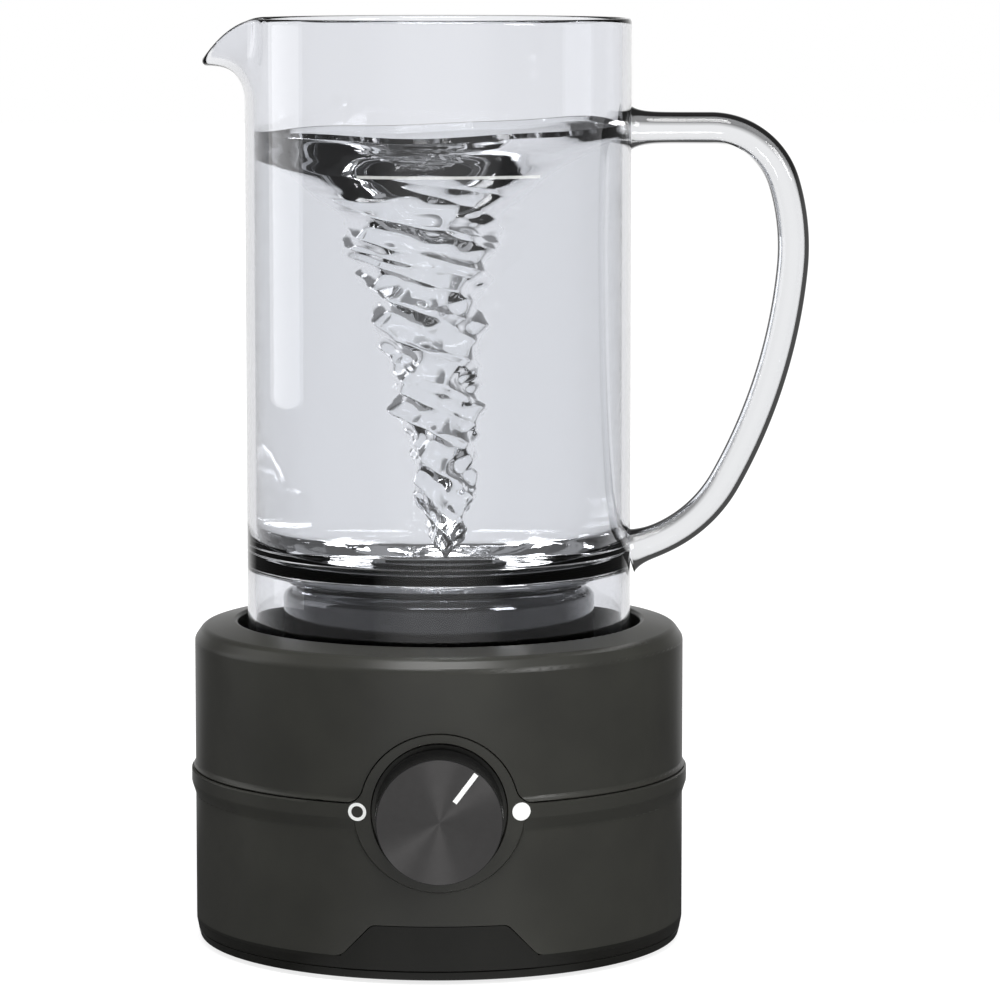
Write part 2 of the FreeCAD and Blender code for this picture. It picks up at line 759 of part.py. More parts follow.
def make_knob_body():
    back = recess_floor + knob_gap
    front = knob_face - knob_cap_thickness + 0.2
    body = Part.makeCone(knob_radius + knob_draft, knob_radius, front - back,
                         Vector(0, -back, knob_height), Vector(0, -1, 0))
    cap_seat = spindle(knob_radius - knob_cap_inset, knob_face - knob_cap_thickness, knob_face + 1.0)
    hollow = spindle(knob_radius - 2.2, back - 1.0, front - 2.6)
    core = spindle(5.4, recess_floor + 5.2, front - 2.0)
    rib = block(2 * knob_radius - 3.0, front - recess_floor - 8.0, knob_height - 0.7, knob_height + 0.7,
                0.0, -(front + recess_floor + 6.0) / 2)
    bore = spindle(control_shaft_radius, back - 1.0, shaft_end)
    return body.cut(hollow).fuse([core, rib]).cut([cap_seat, bore]).removeSplitter()


def pointer_bar(back, front):
    bar = Part.makeBox(pointer_width, front - back, pointer_end - pointer_start,
                       Vector(-pointer_width / 2, -front, knob_height + pointer_start))
    return bar.rotated(Vector(0, 0, knob_height), Vector(0, 1, 0), pointer_angle)


def make_knob_cap():
    back = knob_face - knob_cap_thickness
    disc = spindle(knob_radius - knob_cap_inset, back, knob_face)
    return disc.cut(pointer_bar(knob_face - pointer_depth, knob_face + 1.0))


def make_knob_pointer():
    return pointer_bar(knob_face - pointer_depth, knob_face)


def mark_disc(radius, x):
    disc = spindle(radius, base_radius - 20.0, ridge_radius + 4.0, x)
    return disc.common(sleeve(ridge_radius + print_thickness, ridge_radius, 0.0, 2 * knob_height))


def make_off_mark():
    return mark_disc(mark_radius, -mark_reach).cut(spindle(mark_radius - mark_line, 20.0, 80.0, -mark_reach))


def make_on_mark():
    return mark_disc(mark_radius, mark_reach)


# Electrical pieces in the base

def board_corners():
    x = board_length / 2 - board_corner_inset
    y = board_width / 2 - board_corner_inset
    return [(sx * x, board_centre + sy * y) for sx in (-1, 1) for sy in (-1, 1)]


def make_circuit_board():
    board = block(board_length, board_width, board_height, board_top, 0.0, board_centre)
    return board.cut([column(screw_radius, board_height, board_top, x, y) for x, y in board_corners()])


def make_board_screws():
    return [screw(x, y, board_top, tray_top + 3.0, False) for x, y in board_corners()]


def make_mains_transformer():
    return block(core_length, core_width, board_top, board_top + core_height, core_x, board_centre + core_y)


def make_transformer_coil():
    wrap = block(coil_length, coil_width, board_top + 3.0, board_top + core_height - 3.0, core_x, board_centre + core_y)
    return wrap.cut(make_mains_transformer())


def make_smoothing_capacitor():
    can = turned([
        (0.0, 0.0, 0.0),
        (capacitor_radius, 0.0, 0.6),
        (capacitor_radius, capacitor_height, 0.6),
        (0.0, capacitor_height, 0.0),
    ])
    return can.translated(Vector(9.0, board_centre + 12.0, board_top))


def make_bridge_rectifier():
    return block(12.0, 4.0, board_top, board_top + 10.0, 25.0, board_centre + 12.0)


def make_heat_sink():
    back = block(16.0, 2.0, board_top, board_top + 14.0, 24.0, board_centre)
    fins = [block(1.2, 8.0, board_top, board_top + 14.0, 24.0 + x, board_centre - 3.0) for x in (-7.0, -2.4, 2.4, 7.0)]
    return back.fuse(fins).removeSplitter()


def make_terminal_block():
    return block(34.0, 9.0, board_top, terminal_top, 0.0, terminal_y)


def make_motor_leads():
    leads = []
    for side in (-1, 1):
        top = end_cap_foot + 1.0
        points = [
            Vector(side * 12.0, 3.0, top),
            Vector(side * 12.0, 3.0, top - 5.0),
            Vector(side * 13.5, terminal_y, terminal_top + 6.0),
            Vector(side * 13.5, terminal_y, terminal_top),
        ]
        leads.append(lead(points, lead_radius))
    return leads


def make_switch_leads():
    leads = []
    for side in (-1, 1):
        height = knob_height - 4.5
        back = -(recess_back - 15.5)
        points = [
            Vector(side * 4.0, back, height),
            Vector(side * 4.0, back + 9.0, height),
            Vector(side * 5.0, terminal_y - 10.0, height - 4.0),
            Vector(side * 5.0, terminal_y, terminal_top + 8.0),
            Vector(side * 5.0, terminal_y, terminal_top),
        ]
        leads.append(lead(points, lead_radius))
    return leads


def make_cord_grommet():
    def ring(radius, start, end):
        return Part.makeCylinder(radius, end - start, Vector(0, start, inlet_height), Vector(0, 1, 0))

    outer_seat = base_radius - 0.8
    inner_face = math.sqrt(base_inner**2 - inlet_flange**2) - 0.2
    body = ring(inlet_flange, outer_seat, outer_seat + 1.8)
    body = body.fuse([ring(inlet_sleeve, inner_face, outer_seat), ring(inlet_flange, inner_face - 2.0, inner_face)])
    return body.cut(ring(inlet_radius, inner_face - 3.0, outer_seat + 3.0))


# Carafe

def spout_section(step, inset, lift):
    # A section across the spout. Step runs from 0 at the glass wall to 1 at the tip.
    inside = min(max(step, 0.0), 1.0)
    x = -(spout_root + (spout_tip - spout_root) * step)
    top = spout_tip_height + (rim_height - spout_tip_height) * (1 - inside**2) + lift
    bottom = spout_underside - 11.0 * (1 - inside)**8 + inset
    half_width = spout_tip_half_width + (spout_root_half_width - spout_tip_half_width) * (1 - step) - inset
    left = Vector(x, -half_width, top)
    right = Vector(x, half_width, top)
    bowl = Part.Arc(left, Vector(x, 0, bottom), right).toShape()
    return Part.Wire([bowl, Part.LineSegment(right, left).toShape()])


def make_carafe_glass():
    inner = carafe_inner
    vessel = turned([
        (carafe_radius, skirt_foot_height, 1.0),
        (carafe_radius, rim_height, 1.1),
        (inner, rim_height, 1.1),
        (inner, carafe_floor + dish_rise + 0.6, 8.0),
        (dish_radius - 1.6, carafe_floor, 14.0),
        (0.0, carafe_floor, 0.0),
        (0.0, seat_height, 0.0),
        (dish_radius, seat_height, 10.0),
        (inner, seat_height + dish_rise, 1.2),
        (inner, skirt_foot_height, 1.0),
    ])
    steps = (-0.15, 0.08, 0.3, 0.55, 0.8, 1.0)
    spout = Part.makeLoft([spout_section(step, 0.0, 0.0) for step in steps], True)
    spout = spout.cut(column(carafe_radius - glass_wall / 2, seat_height, rim_height + 10.0))
    cut_steps = (-0.4, 0.08, 0.3, 0.55, 0.8, 1.1)
    channel = Part.makeLoft([spout_section(step, spout_wall, 3.0) for step in cut_steps], True)
    return vessel.fuse(spout).cut(channel).removeSplitter()


def make_carafe_handle():
    # The rod leaves the wall level, turns through its bends and comes back to the wall.
    wall = carafe_radius - glass_wall / 2
    place = Vector(wall, 0, handle_height)
    heading = 0.0
    foot = Part.makeCone(handle_foot_radius, handle_rod_radius, handle_foot_length, place, Vector(1, 0, 0))
    corner = place + Vector(handle_run + glass_wall / 2, 0, 0)
    edges = [Part.LineSegment(place, corner).toShape()]
    for radius, degrees in handle_bends:
        normal = Vector(math.sin(heading), 0, -math.cos(heading))
        centre = corner + normal * radius
        turn = math.radians(degrees)
        half = heading - turn / 2
        end = heading - turn
        middle = centre - Vector(math.sin(half), 0, -math.cos(half)) * radius
        finish = centre - Vector(math.sin(end), 0, -math.cos(end)) * radius
        edges.append(Part.Arc(corner, middle, finish).toShape())
        corner = finish
        heading = end
    along = Vector(math.cos(heading), 0, math.sin(heading))
    last = corner + along * ((wall - corner.x) / along.x)
    edges.append(Part.LineSegment(corner, last).toShape())
    path = Part.Wire(edges)
    ring = Part.Wire(Part.makeCircle(handle_rod_radius, place, Vector(1, 0, 0)))
    rod = path.makePipeShell([ring], True, False)
    low_foot = Part.makeCone(handle_foot_radius, handle_rod_radius, handle_foot_length, last, along * -1)
    print("handle end", round(last.x, 2), round(last.z, 2), "rod volume over section times length",
          round(rod.Volume / (math.pi * handle_rod_radius**2 * path.Length), 4))
    return rod.fuse([foot, low_foot]).removeSplitter()


def make_fill_line():
    low = fill_line_height - fill_line_width / 2
    sweep = fill_line_end - fill_line_start
    outer = Part.makeCylinder(carafe_radius + print_thickness, fill_line_width, Vector(0, 0, low), Vector(0, 0, 1), sweep)
    band = outer.cut(column(carafe_radius, low - 1.0, low + fill_line_width + 1.0))
    return band.rotated(Vector(0, 0, 0), Vector(0, 0, 1), fill_line_start - 90.0)


# Spinner in the carafe

def make_spinner_shell():
    foot = spinner_foot
    disc = turned([
        (0.0, foot, 0.0),
        (spinner_radius, foot, 0.8),
        (spinner_radius, foot + spinner_height, 0.8),
        (0.0, foot + spinner_height, 0.0),
    ])
    vane = block(2 * spinner_radius - 6.0, vane_width, foot + spinner_height - 0.5, foot + spinner_height + vane_rise)
    return disc.fuse(vane).cut(make_spinner_magnet()).removeSplitter()


def make_spinner_magnet():
    return block(bar_length, bar_width, spinner_foot + bar_lift, spinner_foot + spinner_height - bar_cover)


makers = {
    "upper_shell": make_upper_shell,
    "lower_shell": make_lower_shell,
    "bottom_tray": make_bottom_tray,
    "foot_ring": make_foot_ring,
    "shell_screws": make_shell_screws,
    "tray_screws": make_tray_screws,
    "drive_plinth": make_drive_plinth,
    "plinth_pad": make_plinth_pad,
    "plinth_seal": make_plinth_seal,
    "plinth_screws": make_plinth_screws,
    "motor_bracket": make_motor_bracket,
    "bracket_isolators": make_bracket_isolators,
    "bracket_screws": make_bracket_screws,
    "motor_can": make_motor_can,
    "motor_end_cap": make_motor_end_cap,
    "carbon_brushes": make_carbon_brushes,
    "motor_bushes": make_motor_bushes,
    "motor_screws": make_motor_screws,
    "field_magnets": make_field_magnets,
    "motor_shaft": make_motor_shaft,
    "armature_core": make_armature_core,
    "armature_windings": make_armature_windings,
    "commutator": make_commutator,
    "magnet_carrier": make_magnet_carrier,
    "drive_magnets": make_drive_magnets,
    "keeper_plate": make_keeper_plate,
    "carrier_grub_screw": make_carrier_grub_screw,
    "rotary_control": make_rotary_control,
    "control_washer": make_control_washer,
    "control_nut": make_control_nut,
    "control_shaft": make_control_shaft,
    "knob_body": make_knob_body,
    "knob_cap": make_knob_cap,
    "knob_pointer": make_knob_pointer,
    "off_mark": make_off_mark,
    "on_mark": make_on_mark,
    "circuit_board": make_circuit_board,
    "board_screws": make_board_screws,
    "mains_transformer": make_mains_transformer,
    "transformer_coil": make_transformer_coil,
    "smoothing_capacitor": make_smoothing_capacitor,
    "bridge_rectifier": make_bridge_rectifier,
    "heat_sink": make_heat_sink,
    "terminal_block": make_terminal_block,
    "motor_leads": make_motor_leads,
    "switch_leads": make_switch_leads,
    "cord_grommet": make_cord_grommet,
    "carafe_glass": make_carafe_glass,
    "carafe_handle": make_carafe_handle,
    "fill_line": make_fill_line,
    "spinner_shell": make_spinner_shell,
    "spinner_magnet": make_spinner_magnet,
}

for node, make in makers.items():
    save(node, make())
print("nodes", len(makers))
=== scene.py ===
import json
import math

import bpy
import numpy as np
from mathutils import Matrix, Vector


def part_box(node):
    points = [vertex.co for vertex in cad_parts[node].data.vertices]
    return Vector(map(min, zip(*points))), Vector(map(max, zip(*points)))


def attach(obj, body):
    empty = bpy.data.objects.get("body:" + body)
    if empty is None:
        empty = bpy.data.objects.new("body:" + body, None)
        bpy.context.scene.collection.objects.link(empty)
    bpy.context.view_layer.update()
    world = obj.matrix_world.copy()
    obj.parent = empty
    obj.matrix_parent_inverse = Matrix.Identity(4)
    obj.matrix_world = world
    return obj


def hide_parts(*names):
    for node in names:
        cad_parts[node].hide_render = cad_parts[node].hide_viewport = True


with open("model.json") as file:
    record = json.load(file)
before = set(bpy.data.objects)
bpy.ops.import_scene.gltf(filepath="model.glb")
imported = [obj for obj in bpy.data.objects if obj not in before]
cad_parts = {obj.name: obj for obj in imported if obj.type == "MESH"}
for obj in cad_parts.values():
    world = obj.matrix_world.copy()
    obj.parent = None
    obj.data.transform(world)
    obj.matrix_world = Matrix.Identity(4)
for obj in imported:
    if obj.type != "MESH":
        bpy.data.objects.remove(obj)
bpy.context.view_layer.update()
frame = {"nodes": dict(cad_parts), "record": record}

mm = 0.001
print("frame loaded:", len(frame["nodes"]), "nodes")


# Meshes from numpy arrays

def gridMesh(name, rows, material, body, closedFirst=None, closedLast=None):
    # rows is an array of rings, (ring, turn, xyz) in mm. Neighbouring rings are joined by quads that
    # wrap round, and a ring at either end can be closed by one middle point.
    ringCount, turnCount, _ = rows.shape
    points = [rows.reshape(-1, 3)]
    ring, turn = np.meshgrid(np.arange(ringCount - 1), np.arange(turnCount), indexing="ij")
    here = ring * turnCount + turn
    beside = ring * turnCount + (turn + 1) % turnCount
    quads = np.stack([here, beside, beside + turnCount, here + turnCount], axis=-1).reshape(-1, 4)
    faces = quads.tolist()
    turns = np.arange(turnCount)
    count = ringCount * turnCount
    if closedFirst is not None:
        points.append(np.array([closedFirst]))
        fan = np.stack([np.full(turnCount, count), (turns + 1) % turnCount, turns], axis=-1)
        faces += fan.tolist()
        count += 1
    if closedLast is not None:
        points.append(np.array([closedLast]))
        last = (ringCount - 1) * turnCount
        fan = np.stack([np.full(turnCount, count), last + turns, last + (turns + 1) % turnCount], axis=-1)
        faces += fan.tolist()
    mesh = bpy.data.meshes.new(name)
    mesh.from_pydata((np.concatenate(points) * mm).tolist(), [], faces)
    mesh.polygons.foreach_set("use_smooth", [True] * len(mesh.polygons))
    mesh.materials.append(material)
    mesh.update()
    piece = bpy.data.objects.new(name, mesh)
    bpy.context.scene.collection.objects.link(piece)
    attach(piece, body)
    return piece


def smoothStep(value):
    # 3v^2 - 2v^3 with v held between 0 and 1
    held = np.clip(value, 0.0, 1.0)
    return held * held * (3.0 - 2.0 * held)


# Materials

def linear(hexText):
    # sRGB hex text to the linear colour that a shader takes
    parts = [int(hexText[start:start + 2], 16) / 255.0 for start in (1, 3, 5)]
    return tuple(p / 12.92 if p <= 0.04045 else ((p + 0.055) / 1.055) ** 2.4 for p in parts) + (1.0,)


def addNode(tree, kind, settings=None, links=None):
    # One node: settings are socket values or node properties, links are socket name -> output socket.
    node = tree.nodes.new(kind)
    for key, value in (settings or {}).items():
        if isinstance(key, int) or key in node.inputs:
            node.inputs[key].default_value = value
        else:
            setattr(node, key, value)
    for key, output in (links or {}).items():
        tree.links.new(output, node.inputs[key])
    return node


def newMaterial(name):
    material = bpy.data.materials.new(name)
    material.use_nodes = True
    material.node_tree.nodes.clear()
    return material, material.node_tree


def finishMaterial(tree, shader):
    return addNode(tree, "ShaderNodeOutputMaterial", links={"Surface": shader.outputs[0]})


# Detail of each noise, and where the broad noise crosses from the dark colour to the light one
noise = {"fine": 3.0, "broad": 4.0, "wave": 1.0, "smear": 5.0, "toneFrom": 0.3, "toneTo": 0.7}


def grainedSurface(name, look):
    # Principled surface with two sizes of noise: fine grain as bump, broad patches as colour and roughness.
    material, tree = newMaterial(name)
    place = addNode(tree, "ShaderNodeTexCoord").outputs["Object"]
    fine = addNode(tree, "ShaderNodeTexNoise", {"Scale": 1.0 / (look["grainMm"] * mm), "Detail": noise["fine"]},
                   {"Vector": place})
    broad = addNode(tree, "ShaderNodeTexNoise", {"Scale": 1.0 / (look["patchMm"] * mm), "Detail": noise["broad"]},
                    {"Vector": place})
    tone = addNode(tree, "ShaderNodeValToRGB", links={0: broad.outputs[0]})
    tone.color_ramp.elements[0].position = noise["toneFrom"]
    tone.color_ramp.elements[0].color = linear(look["dark"])
    tone.color_ramp.elements[1].position = noise["toneTo"]
    tone.color_ramp.elements[1].color = linear(look["light"])
    rough = addNode(tree, "ShaderNodeMapRange", {"To Min": look["roughness"] - look["roughnessSwing"],
                                                "To Max": look["roughness"] + look["roughnessSwing"]},
                    {"Value": broad.outputs[0]})
    bump = addNode(tree, "ShaderNodeBump", {"Strength": look["bump"], "Distance": look["bumpMm"] * mm},
                   {"Height": fine.outputs[0]})
    settings = {"Metallic": look.get("metallic", 0.0), "IOR": look.get("ior", 1.5),
                "Specular IOR Level": look.get("specular", 0.5), "Alpha": look.get("alpha", 1.0)}
    shader = addNode(tree, "ShaderNodeBsdfPrincipled", settings,
                     {"Base Color": tone.outputs[0], "Roughness": rough.outputs[0], "Normal": bump.outputs[0]})
    finishMaterial(tree, shader)
    return material


def clearGlass(name, look):
    # For glass and for water: clear, with slow waves as bump, a smear as roughness and, where the look gives
    # a density, a colour that deepens with the way through it.
    material, tree = newMaterial(name)
    place = addNode(tree, "ShaderNodeTexCoord").outputs["Object"]
    wave = addNode(tree, "ShaderNodeTexNoise", {"Scale": 1.0 / (look["waveMm"] * mm), "Detail": noise["wave"]},
                   {"Vector": place})
    bump = addNode(tree, "ShaderNodeBump", {"Strength": look["waveStrength"], "Distance": look["waveDepthMm"] * mm},
                   {"Height": wave.outputs[0]})
    smear = addNode(tree, "ShaderNodeTexNoise", {"Scale": 1.0 / (look["smearMm"] * mm), "Detail": noise["smear"]},
                    {"Vector": place})
    rough = addNode(tree, "ShaderNodeMapRange", {"To Min": 0.0, "To Max": look["roughness"]},
                    {"Value": smear.outputs[0]})
    shader = addNode(tree, "ShaderNodeBsdfPrincipled",
                     {"Base Color": linear(look["tint"]), "IOR": look["ior"], "Transmission Weight": 1.0},
                     {"Roughness": rough.outputs[0], "Normal": bump.outputs[0]})
    finish = finishMaterial(tree, shader)
    if "density" in look:
        depth = addNode(tree, "ShaderNodeVolumeAbsorption", {"Color": linear(look["depthTint"]),
                                                             "Density": look["density"]})
        tree.links.new(depth.outputs[0], finish.inputs["Volume"])
    return material


# Moulded shell: near-black with an olive cast, a satin sheen and a faint grain, drawn coarser than the real
# one so that it shows
casingLook = {"dark": "#2e2e2b", "light": "#343430", "roughness": 0.34, "roughnessSwing": 0.04, "grainMm": 0.5,
              "patchMm": 24.0, "bump": 0.08, "bumpMm": 0.04, "specular": 0.32}
# The band and plate at the foot read one step darker than the shell
trayLook = dict(casingLook, dark="#1b1b19", light="#1f1f1d", roughness=0.32, specular=0.2)
# Small black mouldings with sharper highlights
blackLook = dict(casingLook, dark="#141414", light="#1a1a1a", roughness=0.25, bump=0.05)
# Rubber: flat black with a dry grain
rubberLook = {"dark": "#161718", "light": "#1e1f20", "roughness": 0.55, "roughnessSwing": 0.1, "grainMm": 0.4,
              "patchMm": 12.0, "bump": 0.25, "bumpMm": 0.08, "specular": 0.12}
# Dark polished steel: the well and the glass show in it as soft streaks
polishedLook = {"dark": "#626365", "light": "#6c6d6f", "roughness": 0.09, "roughnessSwing": 0.03, "grainMm": 0.7,
                "patchMm": 9.0, "bump": 0.03, "bumpMm": 0.02, "metallic": 1.0}
# Zinc plate: pale grey and cloudy
zincLook = dict(polishedLook, dark="#8e9093", light="#a9abad", roughness=0.35)
# Rolled sheet: duller than plate, with a coarser bump
pressedLook = dict(zincLook, roughness=0.42, bump=0.15)
# White ink: flat and slightly raised in its grain
paintLook = {"dark": "#eceeec", "light": "#f4f5f3", "roughness": 0.45, "roughnessSwing": 0.08, "grainMm": 0.2,
             "patchMm": 3.0, "bump": 0.2, "bumpMm": 0.02}
# Ferrite: charcoal with a dusty coat
ferriteLook = dict(rubberLook, dark="#2c2d30", light="#3a3b3e", roughness=0.5)
# Enamelled wire: warm orange with a ribbed shine
copperLook = dict(zincLook, dark="#8a4a22", light="#b8683a", roughness=0.3, bump=0.3)
# Sintered bronze: dull gold with pores
bronzeLook = dict(zincLook, dark="#8c6a3a", light="#a9824c", roughness=0.4)
# Board laminate: deep green with woven cloudiness
laminateLook = {"dark": "#1d4a2b", "light": "#245a35", "roughness": 0.35, "roughnessSwing": 0.05, "grainMm": 0.6,
                "patchMm": 5.0, "bump": 0.15, "bumpMm": 0.03}
# Natural nylon: milky and waxy
nylonLook = dict(laminateLook, dark="#c9c6bc", light="#d6d3ca", roughness=0.5)
# Lead sleeve: dark red and soft
leadLook = dict(rubberLook, dark="#6b1714", light="#7d1d19", roughness=0.4)
# Blown glass: clear and faintly cool, with slow waves that make reflections swim
glassLook = {"tint": "#f4f5f8", "ior": 1.47, "waveMm": 45.0, "waveStrength": 0.15, "waveDepthMm": 0.25,
             "smearMm": 30.0, "roughness": 0.02}
# Water: clear, a little darker with depth, with small waves on its skin
waterLook = {"tint": "#fbfcfd", "ior": 1.333, "depthTint": "#0b0f14", "density": 0.45, "waveMm": 9.0,
             "waveStrength": 0.25, "waveDepthMm": 0.3, "smearMm": 30.0, "roughness": 0.0}
# Drawn rod: slightly greyer than the wall, so the handle shows on white
rodLook = dict(glassLook, tint="#ebecee", ior=1.4)
# Spun cap: dark grey with a fan of light. The lathe's grooves are under 0.1 mm and are drawn coarser to show.
knobLook = {"dark": "#504f4f", "light": "#565555", "roughness": 0.38, "anisotropy": 0.9, "stretchTurn": 0.25,
            "grooveMm": 0.45, "grooveBump": 0.12, "grooveDepthMm": 0.01, "grainMm": 2.5}


def spunAluminium(name, look):
    # Dark anodised aluminium turned on a lathe: rings about the knob's axis stretch each highlight into a fan.
    material, tree = newMaterial(name)
    low, high = (Vector(corner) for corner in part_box("knob_cap"))
    middle = (low + high) / 2
    place = addNode(tree, "ShaderNodeTexCoord").outputs["Object"]
    centred = addNode(tree, "ShaderNodeMapping", {"vector_type": "POINT", "Location": -middle}, {"Vector": place})
    split = addNode(tree, "ShaderNodeSeparateXYZ", links={0: centred.outputs[0]})
    flat = addNode(tree, "ShaderNodeCombineXYZ", links={"X": split.outputs["X"], "Z": split.outputs["Z"]})
    reach = addNode(tree, "ShaderNodeVectorMath", {"operation": "LENGTH"}, {0: flat.outputs[0]})
    groove = addNode(tree, "ShaderNodeMath", {"operation": "MULTIPLY", 1: 2 * math.pi / (look["grooveMm"] * mm)},
                     {0: reach.outputs["Value"]})
    ridge = addNode(tree, "ShaderNodeMath", {"operation": "SINE"}, {0: groove.outputs[0]})
    bump = addNode(tree, "ShaderNodeBump", {"Strength": look["grooveBump"], "Distance": look["grooveDepthMm"] * mm},
                   {"Height": ridge.outputs[0]})
    grain = addNode(tree, "ShaderNodeTexNoise", {"Scale": 1.0 / (look["grainMm"] * mm), "Detail": noise["broad"]},
                    {"Vector": place})
    tone = addNode(tree, "ShaderNodeValToRGB", links={0: grain.outputs[0]})
    tone.color_ramp.elements[0].color = linear(look["dark"])
    tone.color_ramp.elements[1].color = linear(look["light"])
    along = addNode(tree, "ShaderNodeTangent", {"direction_type": "RADIAL", "axis": "Y"})
    shader = addNode(tree, "ShaderNodeBsdfPrincipled",
                     {"Metallic": 1.0, "Roughness": look["roughness"], "Anisotropic": look["anisotropy"],
                      "Anisotropic Rotation": look["stretchTurn"]},
                     {"Base Color": tone.outputs[0], "Normal": bump.outputs[0], "Tangent": along.outputs[0]})
    finishMaterial(tree, shader)
    return material


finishes = {
    "casing_plastic": grainedSurface("moulded dark ABS", casingLook),
    "tray_plastic": grainedSurface("moulded darker ABS", trayLook),
    "black_plastic": grainedSurface("gloss moulded black ABS", blackLook),
    "foot_rubber": grainedSurface("moulded nitrile rubber", rubberLook),
    "plinth_steel": grainedSurface("deep drawn polished steel", polishedLook),
    "screw_steel": grainedSurface("zinc plated steel", zincLook),
    "bracket_steel": grainedSurface("pressed steel sheet", pressedLook),
    "carafe_glass": clearGlass("blown borosilicate glass", glassLook),
    "print_white": grainedSurface("screen printed white ink", paintLook),
    "knob_aluminium": spunAluminium("spun anodised aluminium", knobLook),
    "magnet_black": grainedSurface("coated ferrite", ferriteLook),
    "copper_winding": grainedSurface("enamelled copper", copperLook),
    "bush_bronze": grainedSurface("sintered bronze", bronzeLook),
    "board_laminate": grainedSurface("glass epoxy laminate", laminateLook),
    "part_plastic": grainedSurface("moulded nylon", nylonLook),
    "heat_sink_aluminium": grainedSurface("extruded aluminium", zincLook),
    "lead_insulation": grainedSurface("extruded PVC sleeve", leadLook),
}
thinInk = grainedSurface("thin screen printed ink", dict(paintLook, alpha=0.45))
water = clearGlass("stirred water", waterLook)
rodGlass = clearGlass("drawn borosilicate rod", rodLook)

slotOf = {part["node"]: part["material_slot"] for part in frame["record"]["subparts"]}
for node, piece in frame["nodes"].items():
    if not piece.material_slots:
        piece.data.materials.append(None)
    for holder in piece.material_slots:
        holder.material = thinInk if node == "fill_line" else finishes[slotOf[node]]
print("materials on CAD nodes")


# Carafe: one wall surface, bent out and down at the spout, with its thickness laid off along its normal

def tenths(metres):
    # Metres to mm, to the nearest tenth, which leaves out the rounding of the construction's mesh
    return round(metres / mm, 1)


glassLow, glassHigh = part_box("carafe_glass")
carafe = {
    "radius": tenths(glassHigh[1]), "rim": tenths(glassHigh[2]), "skirtFoot": tenths(glassLow[2]), "wall": 2.4,
    "floor": 102.0, "dishInner": 37.9, "dishTopInner": 107.6, "insideBends": (14.0, 8.0),     # dish, inside
    "underside": 99.6, "dishOuter": 39.5, "dishTopOuter": 104.6, "underBends": (10.0, 1.2),     # and below
    "spoutStart": 231.0, "spoutReach": 12.6, "spoutTip": 241.2, "spoutHalfDegrees": 23.0,
    "spoutSwing": 1.6, "spoutDroop": 2.6, "spoutBlend": 1.7,     # powers of the spout's curves
    "firstRing": 4.0, "lowWall": (116.0, 226.0, 12), "highWallFrom": 228.0, "highWallRings": 34,     # grid
    "rimPoints": 9, "skirtRings": (112.0, 92.0), "footBend": 1.15, "turns": 288,
}


def wallMiddle(angle, height):
    # The wall's middle surface: a cylinder, and within the spout's angle the strip above spoutStart swings
    # outwards as h^swing and flattens as 1-(1-h)^droop, where h is the share of the way up to the rim.
    start, rim = carafe["spoutStart"], carafe["rim"]
    radius = carafe["radius"] - carafe["wall"] / 2
    share = np.clip((height - start) / (rim - start), 0.0, 1.0)
    away = np.abs(np.mod(angle, 2 * math.pi) - math.pi)
    weight = smoothStep(1.0 - away / math.radians(carafe["spoutHalfDegrees"]))
    out = radius + weight * carafe["spoutReach"] * share ** carafe["spoutSwing"]
    bent = start + (carafe["spoutTip"] - start) * (1.0 - (1.0 - share) ** carafe["spoutDroop"])
    rise = np.where(height > start, height + (bent - height) * weight ** carafe["spoutBlend"], height)
    return np.stack([out * np.cos(angle), out * np.sin(angle), rise], axis=-1)


def wallNormal(angle, height):
    # Cross product of the surface's two small steps, pointing away from the axis
    step = 1e-3
    turnStep = wallMiddle(angle + step, height) - wallMiddle(angle - step, height)
    riseStep = wallMiddle(angle, height + step) - wallMiddle(angle, height - step)
    normal = np.cross(turnStep, riseStep)
    return normal / np.linalg.norm(normal, axis=-1, keepdims=True), riseStep


def revolved(profile, angles):
    # Rings of a surface of revolution from (radius, height) pairs: x = r cos a, y = r sin a
    radius, height = np.array(profile).T
    return np.stack([radius[:, None] * np.cos(angles), radius[:, None] * np.sin(angles),
                     np.repeat(height[:, None], len(angles), axis=1)], axis=-1)


def bendCorner(before, corner, after, radius, count=7):
    # Points of the arc that rounds a corner of a profile: about the arc's middle, its start and its end are
    # mixed by the sines of their shares of the sweep.
    before, corner, after = (np.array(p, float) for p in (before, corner, after))
    back = (before - corner) / np.linalg.norm(before - corner)
    ahead = (after - corner) / np.linalg.norm(after - corner)
    half = math.acos(float(np.clip(back @ ahead, -1, 1))) / 2
    middle = corner + (back + ahead) / np.linalg.norm(back + ahead) * radius / math.sin(half)
    start = corner + back * radius / math.tan(half) - middle
    end = corner + ahead * radius / math.tan(half) - middle
    share = np.linspace(0.0, 1.0, count)[:, None]
    sweep = math.pi - 2 * half
    points = (np.sin((1 - share) * sweep) * start + np.sin(share * sweep) * end) / math.sin(sweep)
    return (middle + points).tolist()


def dishProfile(centre, slopeFoot, slopeTop, wallTop, bends):
    # From the axis out along the flat floor, up the dish and into the wall, with a bend at either end of the dish
    footRadius, topRadius = bends
    points = [[carafe["firstRing"], centre], [slopeFoot / 2, centre]]
    points += bendCorner((0, centre), (slopeFoot, centre), slopeTop, footRadius)
    points += bendCorner((slopeFoot, centre), slopeTop, wallTop, topRadius)
    return points


inner = carafe["radius"] - carafe["wall"]
insideDish = dishProfile(carafe["floor"], carafe["dishInner"], (inner, carafe["dishTopInner"]),
                         (inner, carafe["rim"]), carafe["insideBends"])


